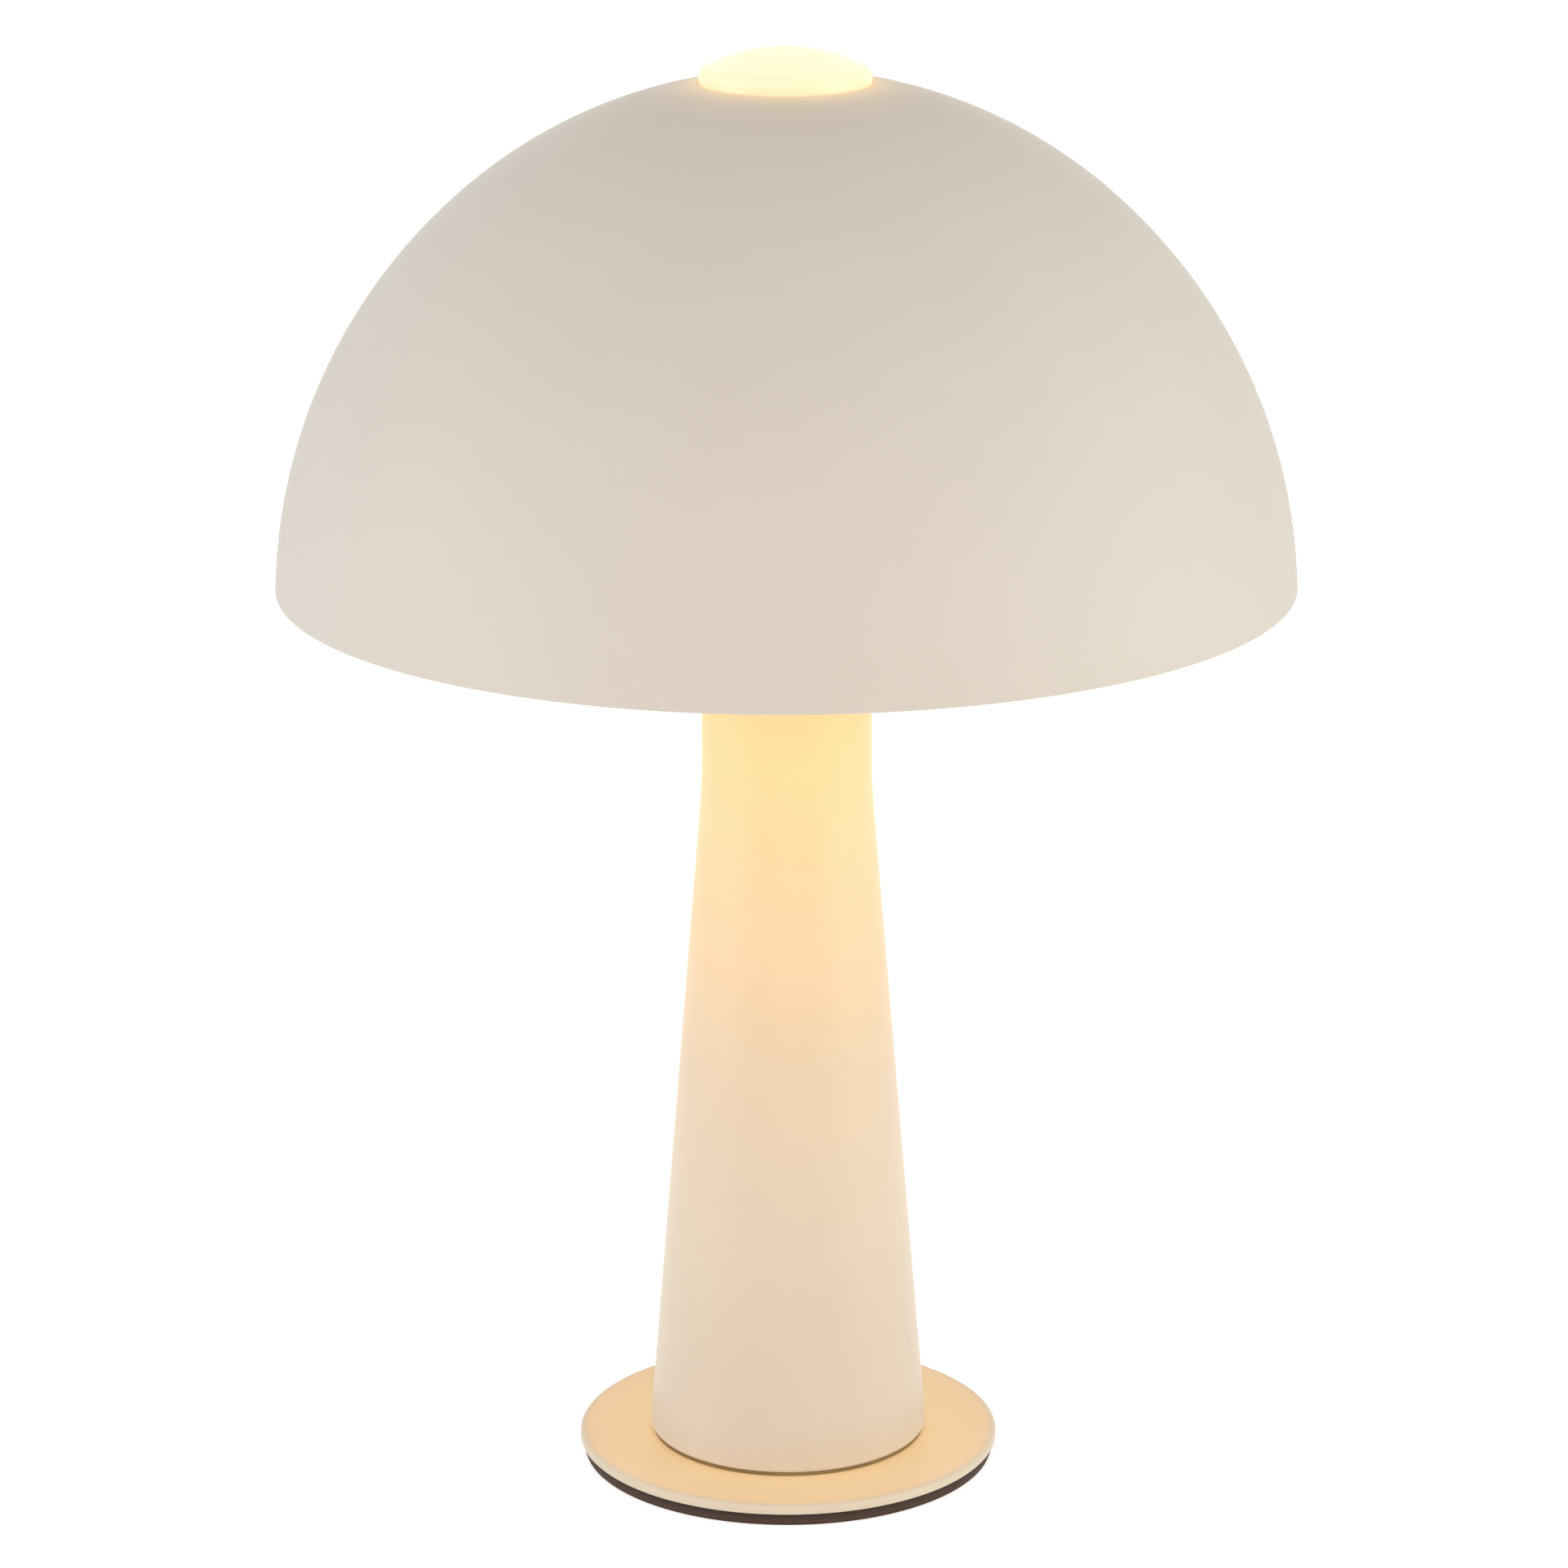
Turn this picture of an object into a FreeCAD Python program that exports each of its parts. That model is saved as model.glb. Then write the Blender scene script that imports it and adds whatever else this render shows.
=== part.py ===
"""Mushroom table lamp: a spun metal dome on a tapering opal glass stem.

Millimetres, +Z up. The origin is on the table under the middle of the base, and the back, where the lead
enters, is +Y. From the table up: a thin round base, a bottle-shaped opal glass clamped to it through a hole
in the glass floor, a threaded tube with a candle lamp inside the glass, a metal ring on the glass's top edge,
the dome hung on that ring, and an opal cap that stands in the dome's hole.
"""

import FreeCAD
import Part

import math
import os

from FreeCAD import Vector

# Fits and gaps
SCREW_GAP = 0.05  # radial, a screw or threaded tube in its hole
SLIP_GAP = 0.4  # radial, a piece that lifts out of another by hand
SEAT_GAP = 0.1  # radial, a piece dropped into a seat at assembly
CUT_PAST = 1.0  # how far a cutting body runs past what it cuts

# Base: foam pad, dark steel weight and the painted plate that shows, from the table up
PLATE_RADIUS = 70.2
PLATE_THICKNESS = 3.15
PLATE_EDGE_ROUND = 1.3
PLATE_LOWER_CHAMFER = 0.3
WEIGHT_INSET = 1.3
WEIGHT_THICKNESS = 3.4
WEIGHT_RECESS_RADIUS = 19.0
PAD_INSET = 0.3
PAD_THICKNESS = 0.8

# Insulated wires from the inlet to the lamp holder, in a channel across the weight
WIRE_RADIUS = 0.95
WIRE_GAP = 0.5
WIRE_LOWER_BEND = 3.5
WIRE_UPPER_BEND = 3.0
WIRE_STRAIGHT_ABOVE_TUBE = 3.0
CHANNEL_SLACK = 1.7

# Lead inlet: a bush in the back edge of the weight, for a flat twin lead
INLET_WIDTH = 5.3
GLAND_SKIN = 0.3
GLAND_SIDE = 1.55
GLAND_LENGTH = 8.0
GLAND_FLANGE_STEP = 1.3
GLAND_FLANGE_LENGTH = 2.4

# Countersunk screws: three hold the weight, three hold the boss
WEIGHT_SCREW_RADIUS = 2.0
WEIGHT_SCREW_HEAD_RADIUS = 3.8
WEIGHT_SCREW_HEAD_HEIGHT = 2.0
WEIGHT_SCREW_CIRCLE = 34.0
WEIGHT_SCREW_END_GAP = 0.2
BOSS_SCREW_RADIUS = 1.5
BOSS_SCREW_HEAD_RADIUS = 2.7
BOSS_SCREW_HEAD_HEIGHT = 1.3
BOSS_SCREW_GRIP = 5.0
SCREW_SLOT_WIDTH = 0.8
SCREW_SLOT_DEPTH = 0.7
SCREW_COUNT = 3
BASE_SCREW_ANGLE = 30.0  # the first screw's, turned from +X

# Boss and threaded tube
TUBE_RADIUS = 5.0
TUBE_WALL = 1.0
TUBE_LENGTH = 298.1
BOSS_LEDGE = 1.5
BOSS_WALL = 8.5
BOSS_HEIGHT = 10.0
BOSS_CAVITY_HEIGHT = 5.0
BOSS_CHAMFER = 0.8
NUT_WALL = 2.0
BOSS_NUT_HEIGHT = 3.0
CLAMP_NUT_HEIGHT = 4.0
NUT_CHAMFER = 0.5

# Opal glass stem, with a rubber seat whose collar centres it on the boss
SEAT_GASKET_THICKNESS = 1.25
SEAT_GASKET_INSET = 1.0
COLLAR_WALL = 1.8
COLLAR_DROP = 0.2
CLAMP_GASKET_THICKNESS = 1.0
GLASS_HEIGHT = 448.2
FOOT_RADIUS = 46.5
FOOT_ROUND = 1.4
NECK_RADIUS = 27.8
CONE_HEIGHT = 225.4
SHOULDER_BEND_RADIUS = 240.0
GLASS_WALL = 3.0
GLASS_FLOOR = 4.0
GLASS_INNER_ROUND = 3.0
NECK_LIP_ROUND = 0.8

# Cup that clamps the glass floor down, under a washer and nut
CUP_RIM_WIDTH = 6.0
CUP_SHEET = 1.5
CUP_HEADROOM = 1.0
CUP_ROUND = 1.0
WASHER_WIDTH = 3.4
WASHER_THICKNESS = 0.8
WASHER_TEETH = 12
WASHER_TOOTH_DEPTH = 1.2

# Candle lamp, heights counted from the underside of its contact
LAMP_CONTACT_RADIUS = 2.4
LAMP_CONTACT_HEIGHT = 1.0
LAMP_CONTACT_ROUND = 0.5
LAMP_INSULATOR_STEP = 0.6
LAMP_INSULATOR_HEIGHT = 2.2
LAMP_THREAD_CREST = 6.9
LAMP_THREAD_DEPTH = 0.6
LAMP_THREAD_PITCH = 2.822
LAMP_THREAD_TURNS = 4
LAMP_SHELL_SHEET = 0.4
LAMP_SKIRT_HEIGHT = 4.5
LAMP_FLARE_HEIGHT = 1.4
LAMP_NECK_RADIUS = 7.95
LAMP_BELLY_RADIUS = 17.5
LAMP_BELLY_HEIGHT = 50.0
LAMP_TIP_RADIUS = 3.2
LAMP_TIP_HEIGHT = 93.7
LAMP_WALL = 0.8
LAMP_MOUNT_DISC = 1.2
LAMP_MOUNT_FLARE = 5.0
LAMP_MOUNT_PINCH_RADIUS = 3.4
LAMP_MOUNT_TAPER = 9.0
LAMP_MOUNT_STEM_RADIUS = 1.7
LAMP_MOUNT_TOP = 44.0
FILAMENT_COUNT = 4
FILAMENT_RADIUS = 0.9
FILAMENT_CIRCLE = 6.5
FILAMENT_FOOT = 36.0
FILAMENT_LENGTH = 36.0
FILAMENT_LEAD_RADIUS = 0.3
FILAMENT_STAR_RADIUS = 0.9
FILAMENT_STAR_HEIGHT = 1.2

# Lamp holder round the lamp's screw cap
HOLDER_WALL = 1.95
HOLDER_NECK_WALL = 1.6
HOLDER_NECK_HEIGHT = 6.0
HOLDER_CAP_HEIGHT = 20.0
HOLDER_CAP_SHOULDER = 14.0
HOLDER_CAP_ROUND = 2.5
HOLDER_CAP_INNER_ROUND = 1.5
HOLDER_SPIGOT_HEIGHT = 5.0
HOLDER_SPIGOT_WALL = 1.2
HOLDER_LIP = 2.0
HOLDER_LIP_STEP = 1.3
HOLDER_LIP_ROUND = 1.2
BUSH_WALL = 2.35
BUSH_HEIGHT = 10.0
INSERT_FLOOR = 6.0
INSERT_WALL = 2.4
INSERT_GAP = 0.45
THREAD_GAP = 0.25
SOCKET_SHEET = 0.35
SOCKET_END_DROP = 0.5
SOCKET_MOUTH_GAP = 0.8
SOCKET_MOUTH_DEPTH = 4.5
CONTACT_LEAF_WIDTH = 4.0
CONTACT_LEAF_LENGTH = 10.0
CONTACT_LEAF_SHEET = 0.4
CONTACT_LEAF_SLOPE = 1.4
CONTACT_LEAF_RISE = 2.0
TERMINAL_SCREW_ANGLE = 33.5
TERMINAL_GAP = 0.3
TERMINAL_FLOOR = 2.0
TERMINAL_SCREW_RADIUS = 1.25
TERMINAL_SCREW_FLOOR = 1.0
TERMINAL_HEAD_RADIUS = 2.1
TERMINAL_HEAD_HEIGHT = 1.4

# Ring that sits on the glass's top edge and carries the dome
NECK_SEAL = 0.8
NECK_SEAL_LEG = 7.2
RING_WEB = 2.0
RING_INNER_WALL = 1.4
RING_OUTER_WALL = 2.4
RING_INNER_SKIRT = 10.0
RING_OUTER_SKIRT = 12.0
RING_OVERHANG = 1.0
RING_LAND_HEIGHT = 0.8
RING_LIP_HEIGHT = 3.0
RING_ROUND = 0.4
RING_SCREW_RADIUS = 1.5
RING_SCREW_DROP = 6.0
RING_SCREW_ANGLE = 90.0
RING_SCREW_SOCKET_FLATS = 1.5
RING_SCREW_SOCKET_DEPTH = 1.2

# Opal cap: a short side, a rounded shoulder and a low crown
CAP_INSET = 0.3  # how much narrower the cap is than the neck
CAP_WALL = 3.0
CAP_SEAL = 0.6
CAP_SIDE_HEIGHT = 5.5
CAP_SHOULDER_ROUND = 2.5
CAP_CROWN_RISE = 8.5

# Dome: a flank arc and a crown arc that meet at the join angle, turned about Z, with a rolled lower edge
DOME_RADIUS = 165.2
DOME_RISE = 170.8
DOME_JOIN_ANGLE = 51.4
DOME_RIM_ABOVE_WIDEST = 6.7
DOME_SHEET = 1.0
DOME_HOLE_GAP = 0.5
DOME_BEAD_RADIUS = 1.5
HUB_WIDTH = 7.0
HUB_EDGE_HEIGHT = 1.6

# Radii that follow from the sizes above, from the table up
weight_radius = PLATE_RADIUS - WEIGHT_INSET
pad_radius = weight_radius - PAD_INSET
wire_spacing = 2.0 * WIRE_RADIUS + WIRE_GAP
channel_width = wire_spacing + 2.0 * WIRE_RADIUS + CHANNEL_SLACK
inlet_height = WEIGHT_THICKNESS - 2.0 * GLAND_SKIN
gland_width = INLET_WIDTH + 2.0 * GLAND_SIDE
gland_flange_width = gland_width + 2.0 * GLAND_FLANGE_STEP
wire_hole_radius = TUBE_RADIUS + BOSS_LEDGE
boss_radius = wire_hole_radius + BOSS_WALL
boss_screw_circle = (wire_hole_radius + boss_radius) / 2.0
floor_hole_radius = boss_radius + COLLAR_WALL + 2.0 * SEAT_GAP
cup_rim_radius = floor_hole_radius + CUP_RIM_WIDTH
lamp_thread_root = LAMP_THREAD_CREST - LAMP_THREAD_DEPTH
lamp_shell_bore = lamp_thread_root - LAMP_SHELL_SHEET
lamp_skirt_bore = LAMP_NECK_RADIUS + SCREW_GAP
lamp_skirt_radius = lamp_skirt_bore + LAMP_SHELL_SHEET
socket_radius = LAMP_THREAD_CREST + THREAD_GAP
socket_mouth_radius = lamp_skirt_radius + SOCKET_MOUTH_GAP
insert_radius = socket_mouth_radius + INSERT_WALL
holder_bore = insert_radius + INSERT_GAP
holder_radius = holder_bore + HOLDER_WALL
spigot_radius = holder_bore - SCREW_GAP
spigot_bore = spigot_radius - HOLDER_SPIGOT_WALL
bush_radius = TUBE_RADIUS + SCREW_GAP + BUSH_WALL
terminal_reach = spigot_bore - TERMINAL_HEAD_RADIUS - TERMINAL_GAP
terminal_offset = terminal_reach * math.cos(math.radians(TERMINAL_SCREW_ANGLE))
terminal_screw_side = terminal_reach * math.sin(math.radians(TERMINAL_SCREW_ANGLE))
neck_bore_radius = NECK_RADIUS - GLASS_WALL
ring_inner_face = neck_bore_radius - NECK_SEAL
ring_bore_radius = ring_inner_face - RING_INNER_WALL
ring_outer_face = NECK_RADIUS + NECK_SEAL
ring_skirt_radius = ring_outer_face + RING_OUTER_WALL
cap_radius = NECK_RADIUS - CAP_INSET
cap_bore_radius = cap_radius - CAP_WALL
dome_hole_radius = cap_radius + DOME_HOLE_GAP
hub_radius = dome_hole_radius + HUB_WIDTH
ring_flange_radius = hub_radius + RING_OVERHANG

# Heights of the base and the stem, from the table up
weight_bottom = PAD_THICKNESS
plate_bottom = weight_bottom + WEIGHT_THICKNESS
plate_top = plate_bottom + PLATE_THICKNESS
glass_bottom = plate_top + SEAT_GASKET_THICKNESS
glass_floor_top = glass_bottom + GLASS_FLOOR
shoulder_height = glass_bottom + CONE_HEIGHT
neck_top = glass_bottom + GLASS_HEIGHT
boss_top = plate_top + BOSS_HEIGHT
boss_nut_top = boss_top + BOSS_NUT_HEIGHT
cup_rim_bottom = glass_floor_top + CLAMP_GASKET_THICKNESS
cup_ceiling = boss_nut_top + CUP_HEADROOM
cup_top = cup_ceiling + CUP_SHEET
washer_top = cup_top + WASHER_THICKNESS

# Heights of the lamp holder on the tube's top end, and of the lamp in it
tube_bottom = plate_top + BOSS_CAVITY_HEIGHT
tube_top = tube_bottom + TUBE_LENGTH
holder_base = tube_top - BUSH_HEIGHT
holder_cap_top = holder_base + HOLDER_CAP_HEIGHT
insert_bottom = holder_cap_top + HOLDER_SPIGOT_HEIGHT
socket_floor = insert_bottom + INSERT_FLOOR
lamp_bottom = socket_floor + CONTACT_LEAF_RISE
lamp_shell_bottom = lamp_bottom + LAMP_CONTACT_HEIGHT + LAMP_INSULATOR_HEIGHT
lamp_thread_top = lamp_shell_bottom + LAMP_THREAD_PITCH * LAMP_THREAD_TURNS
lamp_skirt_bottom = lamp_thread_top + LAMP_FLARE_HEIGHT
lamp_skirt_top = lamp_skirt_bottom + LAMP_SKIRT_HEIGHT
lamp_glass_foot = lamp_skirt_bottom + LAMP_SHELL_SHEET
lamp_mount_top = lamp_bottom + LAMP_MOUNT_TOP
socket_top = lamp_thread_top - SOCKET_END_DROP
insert_top = socket_top + SOCKET_MOUTH_DEPTH
holder_top = insert_top + HOLDER_LIP

# Heights of the crown ring on the glass's top edge, and of the hub and the cap on the ring
ring_channel_top = neck_top + NECK_SEAL
ring_top = ring_channel_top + RING_WEB
ring_land_top = ring_top + RING_LAND_HEIGHT
hub_edge_top = ring_top + HUB_EDGE_HEIGHT
cap_bottom = ring_land_top + CAP_SEAL
cap_crown_base = cap_bottom + CAP_SIDE_HEIGHT
total_height = cap_crown_base + CAP_CROWN_RISE

# The dome's two arcs: their centres lie on the line that leaves both of them at the join angle, and the
# crown's underside meets the hub's outer edge
join = math.radians(DOME_JOIN_ANGLE)
arc_difference = (DOME_RISE - DOME_RADIUS) / (math.cos(join) + math.sin(join) - 1.0)
flank_radius = DOME_RADIUS + arc_difference * math.cos(join)
crown_radius = DOME_RISE - arc_difference * math.sin(join)
flank_centre_offset = DOME_RADIUS - flank_radius
crown_centre_height = hub_edge_top - math.sqrt((crown_radius - DOME_SHEET) ** 2 - hub_radius ** 2)
widest_height = crown_centre_height + crown_radius - DOME_RISE
rim_height = widest_height + DOME_RIM_ABOVE_WIDEST


def at(radius, height):
    """A point of a turned profile."""
    return Vector(radius, 0.0, height)


def line(start, end):
    return Part.LineSegment(start, end).toShape()


def arc(start, middle, end):
    return Part.Arc(start, middle, end).toShape()


def arc_about(centre, radius, first, last):
    """An arc in the XZ plane round a centre, from one angle above horizontal to another, in radians."""
    points = []
    for angle in (first, (first + last) / 2.0, last):
        points.append(centre + at(radius * math.cos(angle), radius * math.sin(angle)))
    return arc(*points), points[0], points[2]


def round_corner(before, corner, after, radius):
    """Start, middle and end of the arc that rounds a corner, tangent to both of its sides."""
    towards_before = (before - corner).normalize()
    towards_after = (after - corner).normalize()
    half_turn = towards_before.getAngle(towards_after) / 2.0
    reach = radius / math.tan(half_turn)
    bisector = (towards_before + towards_after).normalize()
    centre = corner + bisector * (radius / math.sin(half_turn))
    return corner + towards_before * reach, centre - bisector * radius, corner + towards_after * reach


def rounded_edges(points, radii, closed=True):
    """Edges through points, with an arc at each point that has a radius."""
    count = len(points)
    corners = []
    for i, point in enumerate(points):
        radius = radii.get(i, 0.0)
        if radius:
            corners.append(round_corner(points[i - 1], point, points[(i + 1) % count], radius))
        else:
            corners.append((point, None, point))
    edges = []
    for i, (_, _, leave) in enumerate(corners):
        if not closed and i == count - 1:
            break
        arrive, middle, end = corners[(i + 1) % count]
        if leave.distanceToPoint(arrive) > 1e-6:
            edges.append(line(leave, arrive))
        if middle is not None:
            edges.append(arc(arrive, middle, end))
    return edges


def turned(edges):
    """The solid made by turning a closed outline in the XZ plane once round Z."""
    wire = Part.Wire(Part.__sortEdges__(edges))
    return Part.Face(wire).revolve(Vector(0, 0, 0), Vector(0, 0, 1), 360.0)


def turned_outline(outline, rounds=None):
    """A turned solid from (radius, height) pairs, with rounds given by the number of the point."""
    points = [at(radius, height) for radius, height in outline]
    return turned(rounded_edges(points, rounds or {}))


def disc(radius, bottom, top):
    return Part.makeCylinder(radius, top - bottom, Vector(0, 0, bottom))


def ring(bore, radius, bottom, top):
    return disc(radius, bottom, top).cut(disc(bore, bottom - CUT_PAST, top + CUT_PAST))


def block(x_size, y_low, y_high, bottom, top):
    """A box centred on X."""
    return Part.makeBox(x_size, y_high - y_low, top - bottom, Vector(-x_size / 2.0, y_low, bottom))


def spread(shape, count, first_angle=0.0):
    """Copies of a shape, evenly spaced round Z."""
    copies = []
    for i in range(count):
        copy = shape.copy()
        copy.rotate(Vector(0, 0, 0), Vector(0, 0, 1), first_angle + 360.0 * i / count)
        copies.append(copy)
    return copies


def hexagon(flats, bottom, top):
    corner = flats / math.sqrt(3.0)
    points = []
    for i in range(6):
        angle = math.pi * i / 3.0
        points.append(Vector(corner * math.cos(angle), corner * math.sin(angle), bottom))
    return Part.Face(Part.makePolygon(points + points[:1])).extrude(Vector(0, 0, top - bottom))


def tube_nut(bottom, height):
    """A hexagon nut on the threaded tube, its corners turned off on both sides."""
    flats = 2.0 * (TUBE_RADIUS + NUT_WALL)
    corner = flats / math.sqrt(3.0)
    top = bottom + height
    turned_blank = turned_outline([
        (0.0, bottom),
        (corner - NUT_CHAMFER, bottom),
        (corner, bottom + NUT_CHAMFER),
        (corner, top - NUT_CHAMFER),
        (corner - NUT_CHAMFER, top),
        (0.0, top),
    ])
    bore = disc(TUBE_RADIUS + SCREW_GAP, bottom - CUT_PAST, top + CUT_PAST)
    return hexagon(flats, bottom, top).common(turned_blank).cut(bore)


def driver_slot(x, y, bottom, head_radius):
    """The slot in a screw's head that faces down."""
    reach = head_radius + CUT_PAST
    return Part.makeBox(2.0 * reach, SCREW_SLOT_WIDTH, SCREW_SLOT_DEPTH,
                        Vector(x - reach, y - SCREW_SLOT_WIDTH / 2.0, bottom))


def countersunk_body(x, bottom, head_radius, head_height, shank_radius, end, grow=0.0):
    """A countersunk screw's outer shape, head down, or the hole for it when grown."""
    head = Part.makeCone(head_radius + grow, shank_radius + grow, head_height, Vector(x, 0, bottom))
    shank = Part.makeCylinder(shank_radius + grow, end - bottom - head_height,
                              Vector(x, 0, bottom + head_height))
    return head.fuse(shank)


def countersunk_screw(x, bottom, head_radius, head_height, shank_radius, end):
    """A countersunk screw with a slotted head, pointing up."""
    body = countersunk_body(x, bottom, head_radius, head_height, shank_radius, end)
    return body.cut(driver_slot(x, 0.0, bottom, head_radius))


def base_screw_ring(screw):
    return Part.makeCompound(spread(screw, SCREW_COUNT, BASE_SCREW_ANGLE))


def weight_screw_holes():
    """Holes through the weight and the plate."""
    return base_screw_ring(countersunk_body(
        WEIGHT_SCREW_CIRCLE, weight_bottom, WEIGHT_SCREW_HEAD_RADIUS, WEIGHT_SCREW_HEAD_HEIGHT,
        WEIGHT_SCREW_RADIUS, plate_top + CUT_PAST, SCREW_GAP))


def boss_screw_holes():
    """Holes through the plate and blind in the boss."""
    return base_screw_ring(countersunk_body(
        boss_screw_circle, plate_bottom, BOSS_SCREW_HEAD_RADIUS, BOSS_SCREW_HEAD_HEIGHT,
        BOSS_SCREW_RADIUS, plate_top + BOSS_SCREW_GRIP + SCREW_GAP, SCREW_GAP))


def weight_screws():
    return base_screw_ring(countersunk_screw(
        WEIGHT_SCREW_CIRCLE, weight_bottom, WEIGHT_SCREW_HEAD_RADIUS, WEIGHT_SCREW_HEAD_HEIGHT,
        WEIGHT_SCREW_RADIUS, plate_top - WEIGHT_SCREW_END_GAP))


def boss_screws():
    return base_screw_ring(countersunk_screw(
        boss_screw_circle, plate_bottom, BOSS_SCREW_HEAD_RADIUS, BOSS_SCREW_HEAD_HEIGHT,
        BOSS_SCREW_RADIUS, plate_top + BOSS_SCREW_GRIP))


def base_pad():
    return disc(pad_radius, 0.0, weight_bottom)


def gland_outline():
    """The bush's outer shape, without its bore: a body with a wider inner flange, flush with the weight."""
    back = weight_radius + CUT_PAST
    front = weight_radius - GLAND_LENGTH
    body = block(gland_width, front, back, weight_bottom, plate_bottom)
    flange = block(gland_flange_width, front, front + GLAND_FLANGE_LENGTH, weight_bottom, plate_bottom)
    return body.fuse(flange).common(disc(weight_radius, weight_bottom, plate_bottom))


def base_weight():
    """Steel disc under the plate, open in the middle and along the wire channel to the back edge."""
    body = disc(weight_radius, weight_bottom, plate_bottom)
    low = weight_bottom - CUT_PAST
    high = plate_bottom + CUT_PAST
    recess = disc(WEIGHT_RECESS_RADIUS, low, high)
    channel = block(channel_width, 0.0, weight_radius - GLAND_LENGTH + CUT_PAST, low, high)
    return body.cut(recess).cut(channel).cut(gland_outline()).cut(weight_screw_holes())


def cord_gland():
    """Moulded bush with a slot for a flat twin lead."""
    middle = (weight_bottom + plate_bottom) / 2.0
    round_end = inlet_height / 2.0
    half_flat = INLET_WIDTH / 2.0 - round_end
    front = weight_radius - GLAND_LENGTH - CUT_PAST
    length = GLAND_LENGTH + 2.0 * CUT_PAST
    slot = block(2.0 * half_flat, front, front + length, middle - round_end, middle + round_end)
    for x in (-half_flat, half_flat):
        side = Part.makeCylinder(round_end, length, Vector(x, front, middle), Vector(0, 1, 0))
        slot = slot.fuse(side)
    return gland_outline().cut(slot)


def base_plate():
    """Painted steel disc that shows round the glass, its top edge rounded."""
    body = turned_outline([
        (wire_hole_radius, plate_bottom),
        (PLATE_RADIUS - PLATE_LOWER_CHAMFER, plate_bottom),
        (PLATE_RADIUS, plate_bottom + PLATE_LOWER_CHAMFER),
        (PLATE_RADIUS, plate_top),
        (wire_hole_radius, plate_top),
    ], {3: PLATE_EDGE_ROUND})
    return body.cut(weight_screw_holes()).cut(boss_screw_holes())


def tube_boss():
    """Turned boss on the plate: a cavity below for the wires to turn in, and a threaded hole above."""
    bore = TUBE_RADIUS + SCREW_GAP
    body = turned_outline([
        (wire_hole_radius, plate_top),
        (boss_radius, plate_top),
        (boss_radius, boss_top - BOSS_CHAMFER),
        (boss_radius - BOSS_CHAMFER, boss_top),
        (bore, boss_top),
        (bore, tube_bottom),
        (wire_hole_radius, tube_bottom),
    ])
    return body.cut(boss_screw_holes())


def centre_tube():
    return ring(TUBE_RADIUS - TUBE_WALL, TUBE_RADIUS, tube_bottom, tube_top)


def seat_gasket():
    """Flat rubber ring under the glass, with a collar that centres the glass on the boss."""
    bore = boss_radius + SEAT_GAP
    rim = FOOT_RADIUS - SEAT_GASKET_INSET
    collar = bore + COLLAR_WALL
    collar_top = glass_floor_top - COLLAR_DROP
    return turned_outline([
        (bore, plate_top),
        (rim, plate_top),
        (rim, glass_bottom),
        (collar, glass_bottom),
        (collar, collar_top),
        (bore, collar_top),
    ])


def stem_glass():
    """Blown opal glass: a cone with a drilled floor that turns into a straight neck."""
    slope = math.atan((FOOT_RADIUS - NECK_RADIUS) / (shoulder_height - glass_bottom))
    cone_inset = GLASS_WALL / math.cos(slope)
    inner_shoulder = shoulder_height - GLASS_WALL * math.tan(slope / 2.0)
    floor_radius = FOOT_RADIUS - cone_inset - GLASS_FLOOR * math.tan(slope)
    return turned_outline([
        (floor_hole_radius, glass_bottom),
        (FOOT_RADIUS, glass_bottom),
        (NECK_RADIUS, shoulder_height),
        (NECK_RADIUS, neck_top),
        (neck_bore_radius, neck_top),
        (neck_bore_radius, inner_shoulder),
        (floor_radius, glass_floor_top),
        (floor_hole_radius, glass_floor_top),
    ], {
        1: FOOT_ROUND,
        2: SHOULDER_BEND_RADIUS,
        3: NECK_LIP_ROUND,
        4: NECK_LIP_ROUND,
        5: SHOULDER_BEND_RADIUS - GLASS_WALL,
        6: GLASS_INNER_ROUND,
    })


def clamp_gasket():
    return ring(floor_hole_radius + SEAT_GAP, cup_rim_radius, glass_floor_top, cup_rim_bottom)


def clamp_cup():
    """Pressed hat over the boss and its nut, whose rim holds the glass floor down."""
    inside = boss_radius + SLIP_GAP
    outside = inside + CUP_SHEET
    return turned_outline([
        (inside, cup_rim_bottom),
        (cup_rim_radius, cup_rim_bottom),
        (cup_rim_radius, cup_rim_bottom + CUP_SHEET),
        (outside, cup_rim_bottom + CUP_SHEET),
        (outside, cup_top),
        (TUBE_RADIUS + SEAT_GAP, cup_top),
        (TUBE_RADIUS + SEAT_GAP, cup_ceiling),
        (inside, cup_ceiling),
    ], {4: CUP_ROUND + CUP_SHEET, 7: CUP_ROUND})


def clamp_washer():
    """Toothed lock washer under the clamp nut."""
    bore = TUBE_RADIUS + SEAT_GAP
    rim = bore + WASHER_WIDTH
    gap_width = math.pi * rim / WASHER_TEETH
    gap = Part.makeBox(WASHER_TOOTH_DEPTH + CUT_PAST, gap_width, WASHER_THICKNESS,
                       Vector(rim - WASHER_TOOTH_DEPTH, -gap_width / 2.0, cup_top))
    return ring(bore, rim, cup_top, washer_top).cut(Part.makeCompound(spread(gap, WASHER_TEETH)))


def boss_nut():
    return tube_nut(boss_top, BOSS_NUT_HEIGHT)


def clamp_nut():
    return tube_nut(washer_top, CLAMP_NUT_HEIGHT)


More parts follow.
